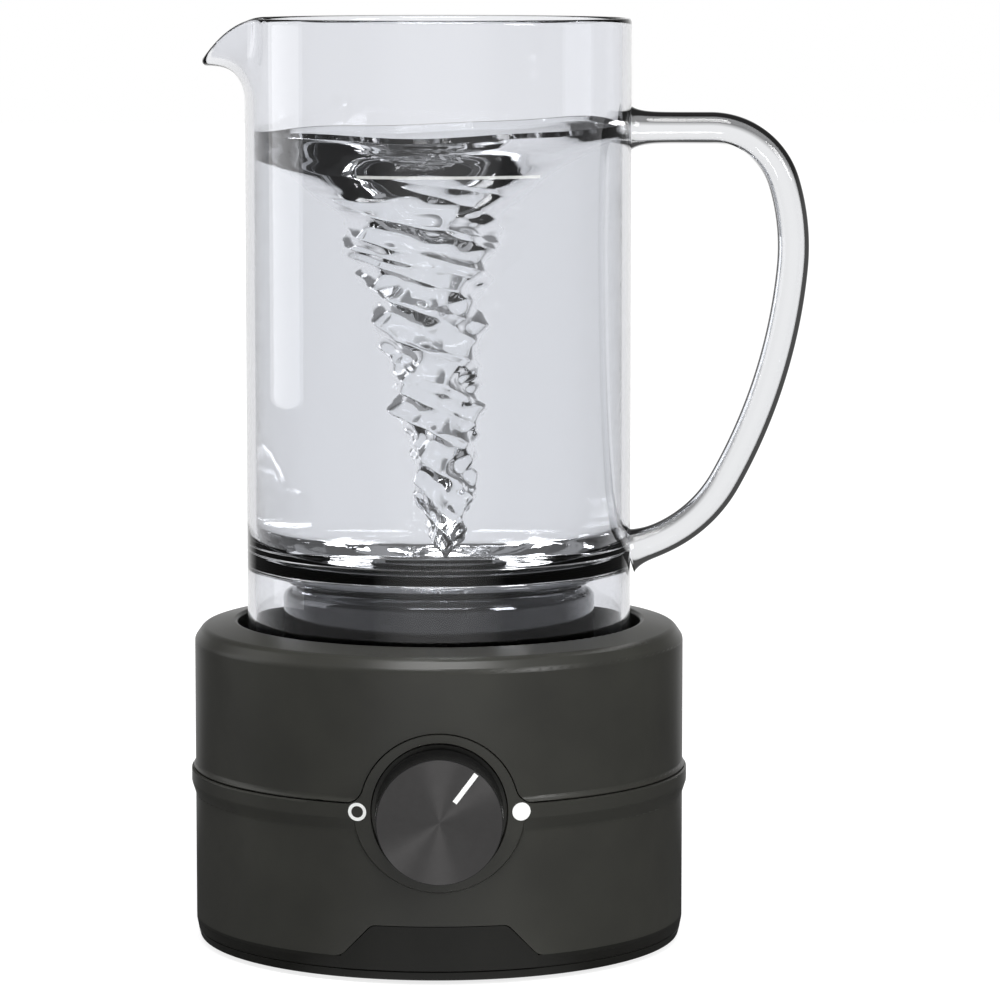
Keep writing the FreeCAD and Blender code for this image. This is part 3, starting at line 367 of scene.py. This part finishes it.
def buildCarafe():
    # Rings up the inside from the dish, over the rim, down the outside, round the skirt's foot and back under
    # the dish. The rim is a half circle of radius wall/2 about the middle surface.
    angles = np.linspace(0, 2 * math.pi, carafe["turns"], endpoint=False)
    radius, foot, half = carafe["radius"], carafe["skirtFoot"], carafe["wall"] / 2
    underDish = dishProfile(carafe["underside"], carafe["dishOuter"], (inner, carafe["dishTopOuter"]),
                            (inner, foot), carafe["underBends"])
    lowWall = np.linspace(*carafe["lowWall"])
    highWall = np.linspace(carafe["highWallFrom"], carafe["rim"] - half, carafe["highWallRings"])
    heights = np.concatenate([lowWall, highWall])[:, None]
    turnGrid = np.broadcast_to(angles, (len(heights), len(angles)))
    heightGrid = np.broadcast_to(heights, turnGrid.shape)
    normal, upward = wallNormal(turnGrid, heightGrid)
    middleWall = wallMiddle(turnGrid, heightGrid)
    insideWall = middleWall - normal * half
    outsideWall = (middleWall + normal * half)[::-1]
    topNormal = normal[-1]
    topUp = upward[-1] / np.linalg.norm(upward[-1], axis=-1, keepdims=True)
    rimTurns = np.linspace(math.pi, 0.0, carafe["rimPoints"])[1:-1, None, None]
    rim = middleWall[-1] + half * (topNormal * np.cos(rimTurns) + topUp * np.sin(rimTurns))
    skirtTop, skirtLow = carafe["skirtRings"]
    footArc = bendCorner((radius, skirtLow), (radius, foot), (inner, foot), carafe["footBend"])
    footArc += bendCorner((radius, foot), (inner, foot), (inner, skirtLow), carafe["footBend"])
    skirt = revolved([[radius, skirtTop], [radius, skirtLow]] + footArc + [[inner, skirtLow]], angles)
    rows = np.concatenate([revolved(insideDish, angles), insideWall, rim, outsideWall, skirt,
                           revolved(underDish[::-1], angles)])
    glass = gridMesh("carafe_blown_glass", rows[:, ::-1], finishes["carafe_glass"], "carafe",
                     (0, 0, carafe["floor"]), (0, 0, carafe["underside"]))
    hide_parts("carafe_glass")


buildCarafe()
print("carafe glass")


# Handle: a round rod along straight runs and tangent arcs, swelling where it is melted to the wall

# Each bend: radius in mm, degrees turned
handle = {"radius": 4.4, "swell": 2.2, "swellLength": 2.6, "height": 223.0, "run": 21.6,
          "bends": [(21.0, 73.0), (60.5, 22.4), (148.0, 23.8), (37.5, 43.0)], "sunk": 0.9, "step": 0.9,
          "endRings": 10, "turns": 40}


def handlePath():
    # Centre points and headings: the turn rate is constant in each bend, 1/radius, and zero in the runs
    wall = carafe["radius"] - handle["sunk"]
    lengths = [handle["run"] + handle["sunk"]]
    lengths += [radius * math.radians(degrees) for radius, degrees in handle["bends"]]
    rates = [0.0] + [1.0 / radius for radius, _ in handle["bends"]]
    heading, place, points, headings = 0.0, np.array([wall, handle["height"]]), [], []
    for length, rate in zip(lengths, rates):
        travel = np.append(np.arange(0.0, length, handle["step"]), length)
        turn = heading - rate * travel
        if rate == 0:
            run = np.stack([travel, 0 * travel], axis=-1)
        else:
            run = np.stack([np.sin(heading) - np.sin(turn), np.cos(turn) - np.cos(heading)], axis=-1) / rate
        points.append((place + run)[:-1])
        headings.append(turn[:-1])
        place, heading = place + run[-1], turn[-1]
    left = (wall - place[0]) / math.cos(heading)
    travel = np.linspace(0.0, left, handle["endRings"])
    points.append(place + travel[:, None] * np.array([math.cos(heading), math.sin(heading)]))
    headings.append(np.full(handle["endRings"], heading))
    return np.concatenate(points), np.concatenate(headings)


def buildHandle():
    # Rings of radius r + swell*exp(-d/swellLength), where d is the way along the rod to its nearer end
    line, turn = handlePath()
    along = np.concatenate([[0.0], np.cumsum(np.linalg.norm(np.diff(line, axis=0), axis=1))])
    near = np.minimum(along, along[-1] - along)
    radius = handle["radius"] + handle["swell"] * np.exp(-near / handle["swellLength"])
    around = np.linspace(0, 2 * math.pi, handle["turns"], endpoint=False)
    across = np.stack([-np.sin(turn), np.cos(turn)], axis=-1)
    side = radius[:, None] * np.cos(around)
    depth = radius[:, None] * np.sin(around)
    x = line[:, 0, None] + across[:, 0, None] * side
    z = line[:, 1, None] + across[:, 1, None] * side
    rows = np.stack([x, depth, z], axis=-1)
    first = (line[0, 0], 0.0, line[0, 1])
    last = (line[-1, 0], 0.0, line[-1, 1])
    rod = gridMesh("handle_glass_rod", rows, rodGlass, "carafe", first, last)
    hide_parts("carafe_handle")


buildHandle()
print("handle rod")


# Water: the carafe's inside with the whirl's funnel taken out of its top

# Each wave: height in mm, lobes round the axis, mm of rise for one radian, phase, wobble, and whether it is ridged
# Each chop: height in mm, lobes, mm of reach for one radian, phase
whirl = {
    "gap": 0.12, "level": 222.0, "edgeDrop": 0.25, "meniscus": 1.4,     # water against the glass
    "sideHeights": (118.0, 160.0, 205.0), "underMeniscus": (0.5, 0.9, 0.97, 0.99),     # rings up the side
    "lipReach": 34.5, "lipFall": 11.0, "neckRadius": 6.4, "neckSlope": 0.1, "neckHeight": 128.0,     # funnel
    "tip": 106.2, "tipLength": 6.0, "tipClear": 0.05,
    "turns": 288, "rings": 320, "ringPower": 1.6,     # grid, closer rings near the surface
    "ripple": 1.0, "rippleBase": 0.75, "rippleReach": 40.0, "rippleFoot": 0.55, "rippleLength": 25.0,
    "calm": 0.85, "calmFrom": 16.5, "calmLength": 9.0, "wallFade": 14.0,     # where the ripples die away
    "waves": [(0.95, 1, 3.6, 0.0, 0.0, True), (0.80, 2, -3.4, 0.7, 0.0, False), (0.75, 2, 2.7, 1.9, 0.5, True),
              (0.50, 5, 2.2, 0.0, 0.0, False), (0.35, 7, -1.7, 2.0, 0.0, False)],
    "wobbleMm": 6.0,
    "chop": [(0.7, 2, 7.0, 0.0), (0.35, 4, -6.0, 1.0), (0.18, 7, 5.0, 0.4)],
    "chopFrom": 205.0, "chopLength": 14.0, "tilt": 1.3,     # tilt: mm that the surface is higher on the right
    "leanFoot": 1.5, "leanTop": -3.7, "leanFrom": 118.0, "leanLength": 85.0,     # funnel's middle, off the axis
}


def funnelRadius(height):
    # A straight taper plus an exponential lip, closed at the tip: (neck + slope*z + reach*exp(-(level-z)/fall))
    neck = whirl["neckRadius"] + whirl["neckSlope"] * (height - whirl["neckHeight"])
    lip = whirl["lipReach"] * np.exp(-(whirl["level"] - height) / whirl["lipFall"])
    return (neck + lip) * (1.0 - np.exp(-(height - whirl["tip"]) / whirl["tipLength"]))


def ridged(value):
    # Sharp crests and round hollows: 1-2|sin v|
    return 1.0 - 2.0 * np.abs(np.sin(value))


def buildWater():
    # Rings of radius funnel(z) plus the waves, which run round and up together like a screw's thread. The top
    # ring climbs to the glass as a meniscus, and the outside follows the glass at a small gap.
    around = np.linspace(0, 2 * math.pi, whirl["turns"], endpoint=False)
    side = inner - whirl["gap"]
    bed = [[r * (side / inner), z + whirl["gap"]] for r, z in insideDish]
    steps = np.linspace(0.0, 1.0, whirl["rings"])
    top = whirl["level"] - whirl["edgeDrop"]
    height = top - (top - whirl["tip"] - whirl["tipClear"]) * steps ** whirl["ringPower"]
    radius = np.minimum(funnelRadius(height), side)
    turn, z = np.meshgrid(around, height)
    r = np.broadcast_to(radius[:, None], z.shape)
    openness = smoothStep((side - r) / whirl["wallFade"])
    throat = 1.0 - whirl["calm"] * smoothStep((r - whirl["calmFrom"]) / whirl["calmLength"])
    neck = smoothStep((z - whirl["tip"]) / whirl["rippleLength"])
    swirl = np.zeros_like(z)
    for size, lobes, pitch, phase, wobble, sharp in whirl["waves"]:
        wave = lobes * turn + z / pitch + phase + wobble * np.sin(z / whirl["wobbleMm"])
        swirl += size * (ridged(wave) if sharp else np.sin(wave))
    swell = whirl["ripple"] * (whirl["rippleFoot"] + (1.0 - whirl["rippleFoot"]) * neck)
    swell = swell * (whirl["rippleBase"] + r / whirl["rippleReach"])
    r = r + swirl * swell * throat * openness
    chop = whirl["tilt"] * np.cos(turn)
    for size, lobes, reach, phase in whirl["chop"]:
        chop = chop + size * np.sin(lobes * turn + r / reach + phase)
    z = z + chop * smoothStep((z - whirl["chopFrom"]) / whirl["chopLength"])
    share = smoothStep((z - whirl["leanFrom"]) / whirl["leanLength"])
    lean = whirl["leanFoot"] + (whirl["leanTop"] - whirl["leanFoot"]) * share
    x = r * np.cos(turn) + lean * openness
    y = r * np.sin(turn)
    surface = np.stack([x, y, z], axis=-1)
    sideRows = revolved([[side, level] for level in whirl["sideHeights"]], around)
    meniscus = surface[:1] + np.array([0.0, 0.0, whirl["meniscus"]])
    shrink = side / np.linalg.norm(meniscus[..., :2], axis=-1, keepdims=True)
    meniscus[..., :2] *= shrink
    shares = np.array(whirl["underMeniscus"])[:, None, None]
    under = sideRows[-1:] + (meniscus - sideRows[-1:]) * shares
    rows = np.concatenate([revolved(bed, around), sideRows, under, meniscus, surface[2:]])
    tip = surface[-1].mean(axis=0)
    tip[2] = whirl["tip"]
    gridMesh("whirling_water", rows, water, "carafe", (0, 0, carafe["floor"] + whirl["gap"]),
             tuple(tip))


buildWater()
print("water")


# Floor, light and camera

studio = {"floorHalf": 6.0, "floorGlow": 0.80, "floorShade": 0.30, "floorBounce": 0.55, "roomBack": 1.0,
          "mirrorSpread": (0.75, 0.98), "mirrorDim": 0.07, "glassSpread": (0.2, 0.6), "glassDim": 0.4,
          "frontSpread": (-0.78, -0.97), "frontGlow": 0.8, "panelTop": (0.08, 0.3), "abovePanel": 0.3,
          "fill": 0.6, "floorRise": (0.15, 0.9), "paperPatchMm": 333.0, "paperSwing": 0.98, "lampAim": 120.0}


def backdropLevel(tree, forward):
    # White straight behind the object and dim round the sides, with some white in front where the table is.
    # What mirrors the room sees a narrower white than what is seen through glass.
    path = addNode(tree, "ShaderNodeLightPath")
    levels = []
    for (start, end), dim, bright in ((studio["mirrorSpread"], studio["mirrorDim"], studio["roomBack"]),
                                      (studio["glassSpread"], studio["glassDim"], studio["roomBack"]),
                                      (studio["frontSpread"], 0.0, studio["frontGlow"])):
        levels.append(addNode(tree, "ShaderNodeMapRange", {"From Min": start, "From Max": end, "To Min": dim,
                                                           "To Max": bright}, {"Value": forward}))
    mirror = addNode(tree, "ShaderNodeMath", {"operation": "ADD"}, {0: levels[0].outputs[0], 1: levels[2].outputs[0]})
    level = addNode(tree, "ShaderNodeMix", links={"Factor": path.outputs["Is Transmission Ray"],
                                                  "A": mirror.outputs[0], "B": levels[1].outputs[0]})
    spread = addNode(tree, "ShaderNodeMath", {"operation": "MAXIMUM"},
                     {0: path.outputs["Is Glossy Ray"], 1: path.outputs["Is Transmission Ray"]})
    return path, level, spread


def buildFloor():
    # Paper that glows for the camera, and for glass and metal as far as the backdrop reaches
    material, tree = newMaterial("pale studio floor")
    place = addNode(tree, "ShaderNodeTexCoord").outputs["Object"]
    split = addNode(tree, "ShaderNodeSeparateXYZ", links={0: place})
    reach = addNode(tree, "ShaderNodeVectorMath", {"operation": "LENGTH"}, {0: place})
    forward = addNode(tree, "ShaderNodeMath", {"operation": "DIVIDE"},
                      {0: split.outputs["Y"], 1: reach.outputs["Value"]})
    path, level, spread = backdropLevel(tree, forward.outputs[0])
    near, far = studio["floorRise"]
    rise = addNode(tree, "ShaderNodeMapRange", {"From Min": near, "From Max": far, "To Min": studio["floorGlow"],
                                               "To Max": 1.0}, {"Value": reach.outputs["Value"]})
    strength = addNode(tree, "ShaderNodeMix", links={"Factor": path.outputs["Is Camera Ray"],
                                                     "A": level.outputs[0], "B": rise.outputs[0]})
    grain = addNode(tree, "ShaderNodeTexNoise", {"Scale": 1.0 / (studio["paperPatchMm"] * mm)}, {"Vector": place})
    paper = addNode(tree, "ShaderNodeValToRGB", links={0: grain.outputs[0]})
    paper.color_ramp.elements[0].color = (studio["floorShade"] * studio["paperSwing"],) * 3 + (1.0,)
    paper.color_ramp.elements[1].color = (studio["floorShade"],) * 3 + (1.0,)
    shade = addNode(tree, "ShaderNodeBsdfDiffuse", links={"Color": paper.outputs[0]})
    glow = addNode(tree, "ShaderNodeEmission", links={"Strength": strength.outputs[0]})
    lit = addNode(tree, "ShaderNodeAddShader", links={0: shade.outputs[0], 1: glow.outputs[0]})
    mirrored = addNode(tree, "ShaderNodeMixShader",
                       links={0: path.outputs["Is Camera Ray"], 1: glow.outputs[0], 2: lit.outputs[0]})
    seen = addNode(tree, "ShaderNodeMath", {"operation": "MAXIMUM"},
                   {0: path.outputs["Is Camera Ray"], 1: spread.outputs[0]})
    bounce = addNode(tree, "ShaderNodeBsdfDiffuse", {"Color": (studio["floorBounce"],) * 3 + (1.0,)})
    pick = addNode(tree, "ShaderNodeMixShader", links={0: seen.outputs[0], 1: bounce.outputs[0],
                                                       2: mirrored.outputs[0]})
    finishMaterial(tree, pick)
    half = studio["floorHalf"]
    mesh = bpy.data.meshes.new("floor")
    mesh.from_pydata([(-half, -half, 0), (half, -half, 0), (half, half, 0), (-half, half, 0)], [], [(0, 1, 2, 3)])
    mesh.materials.append(material)
    floor = bpy.data.objects.new("floor", mesh)
    bpy.context.scene.collection.objects.link(floor)


def buildWorld():
    # The same backdrop above the horizon, as high as a panel and dimmer over it, with plain fill for the
    # diffuse light
    world = bpy.data.worlds.new("studio room")
    bpy.context.scene.world = world
    world.use_nodes = True
    tree = world.node_tree
    tree.nodes.clear()
    way = addNode(tree, "ShaderNodeTexCoord").outputs["Generated"]
    split = addNode(tree, "ShaderNodeSeparateXYZ", links={0: way})
    path, level, spread = backdropLevel(tree, split.outputs["Y"])
    pure = (1.0, 1.0, 1.0, 1.0)
    plain = addNode(tree, "ShaderNodeBackground", {"Color": pure, "Strength": studio["fill"]})
    low, high = studio["panelTop"]
    panel = addNode(tree, "ShaderNodeMapRange", {"From Min": low, "From Max": high, "To Min": 1.0,
                                                "To Max": studio["abovePanel"]}, {"Value": split.outputs["Z"]})
    height = addNode(tree, "ShaderNodeMath", {"operation": "MULTIPLY"}, {0: level.outputs[0], 1: panel.outputs[0]})
    room = addNode(tree, "ShaderNodeBackground", {"Color": pure}, {"Strength": height.outputs[0]})
    white = addNode(tree, "ShaderNodeBackground", {"Color": pure, "Strength": 1.0})
    shiny = addNode(tree, "ShaderNodeMixShader",
                    links={0: spread.outputs[0], 1: plain.outputs[0], 2: room.outputs[0]})
    final = addNode(tree, "ShaderNodeMixShader",
                    links={0: path.outputs["Is Camera Ray"], 1: shiny.outputs[0], 2: white.outputs[0]})
    addNode(tree, "ShaderNodeOutputWorld", links={"Surface": final.outputs[0]})


softboxes = {
    "left_softbox": {"azimuth": -104.0, "elevation": 12.0, "distance": 1.5, "size": (0.8, 1.6), "watts": 5.0},
    "top_softbox": {"azimuth": 0.0, "elevation": 62.0, "distance": 1.5, "size": (0.9, 0.6), "watts": 20.0},
    "right_softbox": {"azimuth": 50.0, "elevation": 24.0, "distance": 1.8, "size": (0.5, 0.7), "watts": 12.0},
}


def buildLights():
    # Azimuth 0 is the camera's side, and positive azimuths are to the right
    for name, box in softboxes.items():
        turn, rise = math.radians(box["azimuth"]), math.radians(box["elevation"])
        way = Vector((math.sin(turn) * math.cos(rise), -math.cos(turn) * math.cos(rise), math.sin(rise)))
        lamp = bpy.data.lights.new(name, "AREA")
        lamp.shape = "RECTANGLE"
        lamp.size, lamp.size_y = box["size"]
        lamp.energy = box["watts"]
        holder = bpy.data.objects.new(name, lamp)
        holder.location = Vector((0, 0, studio["lampAim"] * mm)) + way * box["distance"]
        holder.rotation_euler = (-way).to_track_quat("-Z", "Y").to_euler()
        bpy.context.scene.collection.objects.link(holder)


view = {"standOff": 1292.5, "height": 272.5, "aimX": 16.8, "aimZ": 121.1, "focalPixels": 4738.0, "framePixels": 1000.0,
        "sensor": 36.0, "clip": (0.05, 50.0)}


def buildCamera():
    # The lens from the picture's scale: focal length in pixels, over the frame's width, times the sensor
    camera = bpy.data.cameras.new("camera")
    camera.sensor_width = view["sensor"]
    camera.lens = view["focalPixels"] / view["framePixels"] * camera.sensor_width
    camera.clip_start, camera.clip_end = view["clip"]
    holder = bpy.data.objects.new("camera", camera)
    holder.location = Vector((0, -view["standOff"], view["height"])) * mm
    aim = Vector((view["aimX"], 0, view["aimZ"])) * mm
    holder.rotation_euler = (aim - holder.location).to_track_quat("-Z", "Y").to_euler()
    bpy.context.scene.collection.objects.link(holder)
    bpy.context.scene.camera = holder


buildFloor()
buildWorld()
buildLights()
buildCamera()
bpy.context.scene.view_settings.view_transform = "Standard"
print("floor, light and camera")
